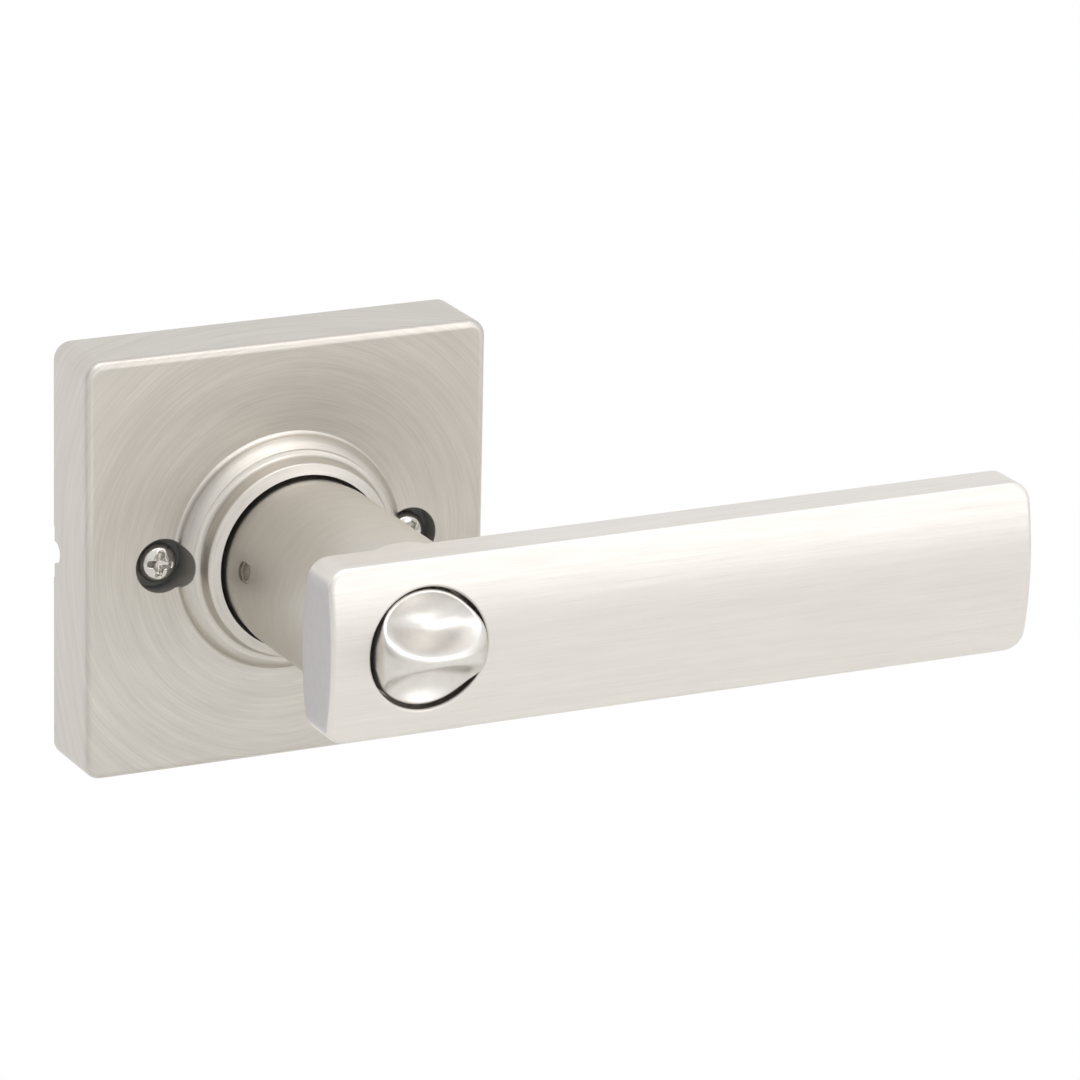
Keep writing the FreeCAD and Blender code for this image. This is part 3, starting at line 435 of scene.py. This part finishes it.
def drawn_steel(name, low, high, rough, draw_mm):
    """Hardened wire or strip: its temper colour, streaked by faint draw marks that run with the depth."""
    material, tree = new_material(name)
    place, parts = on_piece(tree)
    pitch = 1000.0 / draw_mm
    along = node(tree, "ShaderNodeVectorMath", {"operation": "MULTIPLY"}, {0: place, 1: (pitch, pitch * 5, pitch)})
    marks = node(tree, "ShaderNodeTexNoise", links={"Vector": along, "Scale": 1.0, "Detail": 2.0})
    share = node(tree, "ShaderNodeMapRange", links={"Value": marks, "From Min": 0.3, "From Max": 0.7})
    tone = node(tree, "ShaderNodeMix", {"data_type": "RGBA"}, {0: share, 6: colour(low), 7: colour(high)})
    matt = node(tree, "ShaderNodeMapRange", links={"Value": marks, "From Min": 0.3, "From Max": 0.7,
                                                   "To Min": rough - 0.06, "To Max": rough + 0.10})
    relief = node(tree, "ShaderNodeBump", links={"Strength": 0.3, "Distance": 0.00001, "Height": marks})
    shader = node(tree, "ShaderNodeBsdfPrincipled", links={
        "Base Color": tone.outputs[2], "Metallic": 1.0, "Roughness": matt, "Normal": relief})
    node(tree, "ShaderNodeOutputMaterial", links={"Surface": shader})
    return material


dress("cassette_housing", cast_zinc("cast zinc", CAST_ZINC, "#a2a2a0", 0.48))
dress("return_spring", drawn_steel("oil-tempered spring steel", "#55504b", "#837d76", 0.34, 1.0))
dress("spring_driver", zinc_plate)
dress("stop_pins", plated_steel("ground pin steel", "#a8a9a9", "#b9b9b6", 0.22))
dress("thrust_washer", plated_steel("bright washer steel", "#b3b5b6", "#c4c2ba", 0.26))
dress("spring_washer", drawn_steel("blued spring strip", "#5f6064", "#85868a", 0.30, 2.0))
dress("snap_ring", drawn_steel("phosphated ring steel", "#4a4846", "#64615d", 0.42, 2.0))

# ---------------------------------------------------------------------------
# Neck bearing: a bush moulded in black nylon. It sits in the collar and the lever's neck turns in it.
# ---------------------------------------------------------------------------

MOULD_GRAIN_MM = 0.25
FLOW_MM = 5.0
PLASTIC_IOR = 1.53


def moulded(name, low, high, rough, grain_mm):
    """Moulded plastic: an even colour with a slight flow mottle and the mould's fine texture."""
    material, tree = new_material(name)
    place, parts = on_piece(tree)
    flow = node(tree, "ShaderNodeTexNoise", links={"Vector": place, "Scale": 1000.0 / FLOW_MM, "Detail": 2.0})
    grain = node(tree, "ShaderNodeTexNoise", links={"Vector": place, "Scale": 1000.0 / grain_mm, "Detail": 2.0})
    share = node(tree, "ShaderNodeMapRange", links={"Value": flow, "From Min": 0.3, "From Max": 0.7})
    tone = node(tree, "ShaderNodeMix", {"data_type": "RGBA"}, {0: share, 6: colour(low), 7: colour(high)})
    matt = node(tree, "ShaderNodeMapRange", links={"Value": grain, "From Min": 0.3, "From Max": 0.7,
                                                   "To Min": rough - 0.05, "To Max": rough + 0.05})
    relief = node(tree, "ShaderNodeBump", links={"Strength": 0.3, "Distance": 0.00002, "Height": grain})
    shader = node(tree, "ShaderNodeBsdfPrincipled", links={
        "Base Color": tone.outputs[2], "Roughness": matt, "IOR": PLASTIC_IOR, "Normal": relief})
    node(tree, "ShaderNodeOutputMaterial", links={"Surface": shader})
    return material


dress("neck_bearing", moulded("black nylon, moulded", "#141414", "#1d1c1b", 0.45, MOULD_GRAIN_MM))

# ---------------------------------------------------------------------------
# Mounting screws: two steel machine screws with pan heads and cross recesses, nickel plated. They pass
# through the door, and notches in the thread let them be snapped to length.
# ---------------------------------------------------------------------------

SCREW_HEAD_R = 0.0031
SCREW_NECK_R = 0.00175
THREAD_R = 0.0020
THREAD_ROOT_R = 0.00162
THREAD_PITCH = 0.0008
SNAP_NOTCHES = (0.018, 0.024, 0.030)
SNAP_HALF = 0.0004
RECESS_ARM = 0.00185
RECESS_WIDTH = 0.00042
RECESS_DEPTH = 0.0016
HEAD_RINGS = 44
HEAD_SIDES = 128
THREAD_SIDES = 32


def head_height(x, z):
    """How far the head's surface stands in front of its seat."""
    top, rim = 0.0032, 0.0017
    r = min(math.hypot(x, z) / SCREW_HEAD_R, 1.0)
    dome = rim + (top - rim) * (1.0 - r ** 3.2) ** 0.6
    low, high = sorted((abs(x), abs(z)))
    width = RECESS_WIDTH + 0.00030 * max(0.0, 1.0 - high / 0.0011)
    wall = 1.0 / (1.0 + (low / width) ** 8)
    end = 1.0 / (1.0 + (high / RECESS_ARM) ** 18)
    taper = 1.0 - 0.45 * min(high / RECESS_ARM, 1.0)
    return dome - RECESS_DEPTH * taper * wall * end


def screw_mesh():
    low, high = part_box("mounting_screws")
    front, tip = low[1], high[1]
    seat = front + 0.0032
    mesh = bmesh.new()
    rows = [[mesh.verts.new((0, seat - head_height(0, 0), 0))]]

    def row(radius, y_of):
        points = []
        for i in range(HEAD_SIDES):
            a = math.tau * i / HEAD_SIDES
            x, z = radius * math.cos(a), radius * math.sin(a)
            points.append(mesh.verts.new((x, y_of(x, z), z)))
        rows.append(points)

    for k in range(1, HEAD_RINGS + 1):
        share = k / HEAD_RINGS
        row(SCREW_HEAD_R * (share if share < 0.9 else 1 - (1 - share) ** 1.6 * 4.0),
            lambda x, z: seat - head_height(x, z))
    row(SCREW_HEAD_R, lambda x, z: seat)
    row(SCREW_NECK_R, lambda x, z: seat)
    row(SCREW_NECK_R, lambda x, z: 0.0)
    for low_row, high_row in zip(rows, rows[1:]):
        for i in range(HEAD_SIDES):
            j = (i + 1) % HEAD_SIDES
            corners = [low_row[i % len(low_row)], low_row[j % len(low_row)], high_row[j], high_row[i]]
            mesh.faces.new(list(dict.fromkeys(corners)))
    mesh.faces.new(rows[-1])
    add_thread(mesh, 0.0, tip)
    bmesh.ops.recalc_face_normals(mesh, faces=mesh.faces)
    data = bpy.data.meshes.new("mounting_screws_threaded")
    mesh.to_mesh(data)
    mesh.free()
    smooth_by_angle(data, 40)
    return data


def thread_radius(y, tip):
    """Envelope of the thread: full size, cut down at the snap notches and the point."""
    limit = THREAD_R
    for notch in SNAP_NOTCHES:
        limit = min(limit, THREAD_ROOT_R + max(0.0, abs(y - notch) - SNAP_HALF) * 1.2)
    return min(limit, THREAD_ROOT_R - 0.0006 + max(0.0, tip - y) * 1.0)


def add_thread(mesh, start, tip):
    """Closed threaded rod: each row of points is one step of a rolled 60 degree thread."""
    step = THREAD_PITCH / 4
    rows = []
    for k in range(int((tip - start) / step) + 1):
        y = start + k * step
        points = []
        for i in range(THREAD_SIDES):
            wave = abs(((y / THREAD_PITCH + i / THREAD_SIDES) % 1.0) * 2 - 1)
            radius = THREAD_ROOT_R + (THREAD_R - THREAD_ROOT_R) * min(1.0, wave * 1.15)
            radius = min(radius, thread_radius(y, tip))
            a = math.tau * i / THREAD_SIDES
            points.append(mesh.verts.new((radius * math.cos(a), y, radius * math.sin(a))))
        rows.append(points)
    for low_row, high_row in zip(rows, rows[1:]):
        for i in range(THREAD_SIDES):
            j = (i + 1) % THREAD_SIDES
            mesh.faces.new((low_row[i], low_row[j], high_row[j], high_row[i]))
    mesh.faces.new(rows[0])
    mesh.faces.new(rows[-1])


# Bright nickel on rolled steel: sharp reflections under fine wiping scratches.
screw_nickel, tree = new_material("bright nickel")
place, parts = on_piece(tree)
stretched = node(tree, "ShaderNodeVectorMath", {"operation": "MULTIPLY"}, {0: place, 1: (4000, 9000, 4000)})
wipes = node(tree, "ShaderNodeTexNoise", links={"Vector": stretched, "Scale": 1.0, "Detail": 2.0})
matt = node(tree, "ShaderNodeMapRange", links={"Value": wipes, "From Min": 0.3, "From Max": 0.7,
                                               "To Min": 0.10, "To Max": 0.22})
tone = node(tree, "ShaderNodeMix", {"data_type": "RGBA"}, {0: wipes, 6: colour("#c6c3be"), 7: colour("#d8d6d1")})
relief = node(tree, "ShaderNodeBump", links={"Strength": 0.15, "Distance": 0.00001, "Height": wipes})
shader = node(tree, "ShaderNodeBsdfPrincipled", links={
    "Base Color": tone.outputs[2], "Metallic": 1.0, "Roughness": matt, "Normal": relief})
node(tree, "ShaderNodeOutputMaterial", links={"Surface": shader})

screws = set_copies("mounting_screws_threaded", screw_mesh(), screw_nickel, (2, 1),
                    {"Spacing X": 2 * SCREW_X, "First Turn": math.radians(8), "Turn Step": math.radians(25)})
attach(screws, "rose")
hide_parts("mounting_screws")

# ---------------------------------------------------------------------------
# Lever: arm and hollow neck are one zinc casting. The arm is linished lengthwise on a belt, the neck is
# spun, and both are plated satin nickel. The arm's nickel is painted lighter than the rose's, a painted
# highlight for the strong light on its face, and the arm's end faces are painted a cooler, darker grey, painted
# shade picked by the way they face.
# ---------------------------------------------------------------------------

LEVER_LIT_NICKEL = "#e5e1dc"
NECK_NICKEL = "#d4d0c9"
END_SHADE_NICKEL = "#c6c3c4"
NECK_FRONT = -0.0535
LINE_MM = 0.16
LINE_BAND_MM = 1.4
STROKE_MM = 14.0


def arm_coordinates(tree, line_mm):
    """Noise read here makes long straight lines: slow along the arm and fast across it."""
    place, parts = on_piece(tree)
    fast = 1000.0 / line_mm
    return node(tree, "ShaderNodeVectorMath", {"operation": "MULTIPLY"}, {0: place, 1: (1000.0 / STROKE_MM, fast, fast)})


def on_neck(tree):
    """1 on the neck and 0 on the arm, by the distance from the door."""
    place, parts = on_piece(tree)
    return node(tree, "ShaderNodeMath", {"operation": "GREATER_THAN"}, {0: parts["Y"], 1: NECK_FRONT})


def by_neck(tree, arm_value, neck_value):
    """One vector on the arm and another on the neck."""
    return node(tree, "ShaderNodeMix", {"data_type": "VECTOR"},
                {0: on_neck(tree), 4: arm_value, 5: neck_value}).outputs[1]


def on_end(tree):
    """1 on the two end faces of the arm, from the way that they face."""
    facing = node(tree, "ShaderNodeTexCoord").outputs["Normal"]
    across = node(tree, "ShaderNodeSeparateXYZ", links={"Vector": facing}).outputs["X"]
    slope = node(tree, "ShaderNodeMath", {"operation": "ABSOLUTE"}, {0: across})
    ends = node(tree, "ShaderNodeMapRange", links={"Value": slope, "From Min": 0.85, "From Max": 0.97})
    on_arm = node(tree, "ShaderNodeMath", {"operation": "SUBTRACT"}, {0: 1.0, 1: on_neck(tree)})
    return node(tree, "ShaderNodeMath", {"operation": "MULTIPLY"}, {0: ends, 1: on_arm})


# Satin nickel, belt-linished: long straight hairlines and a broad soft highlight across them.
lever_nickel, tree = new_material("satin nickel, linished")
# Painted light and shade: the arm takes the lighter nickel, and the end faces take the darker grey.
skin = node(tree, "ShaderNodeMix", {"data_type": "RGBA"},
            {0: on_neck(tree), 6: colour(LEVER_LIT_NICKEL), 7: colour(NECK_NICKEL)}).outputs[2]
skin = node(tree, "ShaderNodeMix", {"data_type": "RGBA"},
            {0: on_end(tree), 6: skin, 7: colour(END_SHADE_NICKEL)}).outputs[2]
along = node(tree, "ShaderNodeVectorTransform",
             {"vector_type": "VECTOR", "convert_from": "OBJECT", "convert_to": "WORLD"}, {"Vector": (1, 0, 0)})
brushed_nickel(tree, skin, by_neck(tree, arm_coordinates(tree, LINE_MM), spun_coordinates(tree, RING_MM)),
               by_neck(tree, arm_coordinates(tree, LINE_BAND_MM), spun_coordinates(tree, RING_BAND_MM)),
               by_neck(tree, along, spun_direction(tree)), 0.40, 0.035)
dress("lever_handle", lever_nickel)

# ---------------------------------------------------------------------------
# Drive: a steel sleeve keyed to the spring driver carries the lever. A cast hub for the square spindle is
# pinned in its back, and a moulded guide in its bore holds the sprung catch that locks the lever on.
# ---------------------------------------------------------------------------

dress("drive_sleeve", plated_steel("zinc-plated sleeve steel", "#a4a8ac", "#bdbbb0", 0.32))
dress("spindle_hub", cast_zinc("cast zinc, hub", "#959593", "#a8a8a6", 0.42))
dress("hub_pins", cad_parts["stop_pins"].material_slots[0].material)
dress("catch_guide", moulded("natural acetal, moulded", "#dcd6c6", "#e6e1d4", 0.38, 0.4))
dress("lever_catch", plated_steel("nickel-plated catch pin", "#cdcac4", "#d8d5cf", 0.24))
dress("catch_spring", drawn_steel("stainless spring wire", "#9a9894", "#bab8b4", 0.25, 0.5))

# ---------------------------------------------------------------------------
# Turn button: a zinc casting, buffed and plated. Two scoops leave a finger ridge that rises out of the rim
# at each end. Its stem passes through the lever, and a clip, a washer and a hairpin spring hold it there.
# ---------------------------------------------------------------------------

RIDGE_RISE = 0.0074
RIDGE_HALF = 0.0020
RIDGE_FLARE_R = 0.0150
RIDGE_STEEPNESS = 3.4
SCOOP_DEPTH = 0.0008
SCOOP_R = 0.0084
RIM_R = 0.0005
STEM_R = 0.0042
GROOVE_R = 0.0035
BUTTON_BACK = -0.0580
BUTTON_SIDES = 288
BUTTON_RINGS = 96


def button_height(x, z, edge):
    """Height over the rim: dished scoops, and a ridge that bows from end to end and flares at its ends."""
    r = math.hypot(x, z)
    scoop = -SCOOP_DEPTH * (1.0 - min(r / SCOOP_R, 1.0) ** 5)
    crest = RIDGE_RISE * max(0.0, 1.0 - (abs(x) / edge) ** 3) ** 0.4
    half = RIDGE_HALF + RIDGE_FLARE_R - math.sqrt(RIDGE_FLARE_R ** 2 - x ** 2)
    share = 1.0 / (1.0 + (abs(z) / half) ** RIDGE_STEEPNESS)
    raised = scoop + (max(crest, 0.0) - scoop) * share
    over = max(0.0, r - (edge - RIM_R)) / RIM_R
    return raised - RIM_R * (1.0 - math.sqrt(max(0.0, 1.0 - min(over, 1.0) ** 2)))


def button_mesh():
    low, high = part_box("turn_button")
    edge = high[0]
    rim = low[1] + RIDGE_RISE
    mesh = bmesh.new()
    rows = [[mesh.verts.new((0, rim - button_height(0, 0, edge), 0))]]
    for k in range(1, BUTTON_RINGS + 1):
        share = k / BUTTON_RINGS
        radius = edge * (1.0 - (1.0 - share) ** 1.35)
        points = []
        for i in range(BUTTON_SIDES):
            a = math.tau * i / BUTTON_SIDES
            x, z = radius * math.cos(a), radius * math.sin(a)
            points.append(mesh.verts.new((x, rim - button_height(x, z, edge), z)))
        rows.append(points)
    stem = [(edge, BUTTON_BACK - 0.0003), (edge - 0.0003, BUTTON_BACK), (STEM_R, BUTTON_BACK),
            (STEM_R, -0.0539), (GROOVE_R, -0.0539), (GROOVE_R, -0.0532), (STEM_R, -0.0532),
            (STEM_R, high[1] - 0.0004), (STEM_R - 0.0004, high[1])]
    for radius, y in stem:
        rows.append([mesh.verts.new((radius * math.cos(a), y, radius * math.sin(a)))
                     for a in (math.tau * i / BUTTON_SIDES for i in range(BUTTON_SIDES))])
    rows.append([mesh.verts.new((0, high[1], 0))])
    for low_row, high_row in zip(rows, rows[1:]):
        for i in range(BUTTON_SIDES):
            j = (i + 1) % BUTTON_SIDES
            corners = [low_row[i % len(low_row)], low_row[j % len(low_row)],
                       high_row[j % len(high_row)], high_row[i % len(high_row)]]
            mesh.faces.new(list(dict.fromkeys(corners)))
    bmesh.ops.recalc_face_normals(mesh, faces=mesh.faces)
    data = bpy.data.meshes.new("turn_button_scooped")
    mesh.to_mesh(data)
    mesh.free()
    smooth_by_angle(data, 50)
    return data


# Satin nickel, buffed: smoother than the lever, with only a faint wipe of fine scratches.
button_nickel, tree = new_material("satin nickel, buffed")
place, parts = on_piece(tree)
stretched = node(tree, "ShaderNodeVectorMath", {"operation": "MULTIPLY"}, {0: place, 1: (900, 2500, 5000)})
wipes = node(tree, "ShaderNodeTexNoise", links={"Vector": stretched, "Scale": 1.0, "Detail": 3.0})
clouds = node(tree, "ShaderNodeTexNoise", links={"Vector": place, "Scale": 1000.0 / 1.5, "Detail": 2.0})
tone = node(tree, "ShaderNodeMix", {"data_type": "RGBA"}, {0: clouds, 6: colour("#d4d0cb"), 7: colour("#e2dfdb")})
matt = node(tree, "ShaderNodeMapRange", links={"Value": wipes, "From Min": 0.3, "From Max": 0.7,
                                               "To Min": 0.30, "To Max": 0.38})
relief = node(tree, "ShaderNodeBump", links={"Strength": 0.12, "Distance": 0.00001, "Height": wipes})
shader = node(tree, "ShaderNodeBsdfPrincipled", links={
    "Base Color": tone.outputs[2], "Metallic": 1.0, "Roughness": matt, "Normal": relief})
node(tree, "ShaderNodeOutputMaterial", links={"Surface": shader})

button_data = button_mesh()
button_data.materials.append(button_nickel)
button = new_object("turn_button_scooped", button_data)
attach(button, "button")
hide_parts("turn_button")

dress("button_clip", drawn_steel("phosphated clip steel", "#4e4b48", "#6b6763", 0.40, 1.0))
dress("button_washer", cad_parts["spring_washer"].material_slots[0].material)
dress("detent_spring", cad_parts["catch_spring"].material_slots[0].material)
dress("turn_blade", plated_steel("zinc-plated blade steel", "#a6aaae", "#c0bdb0", 0.30))
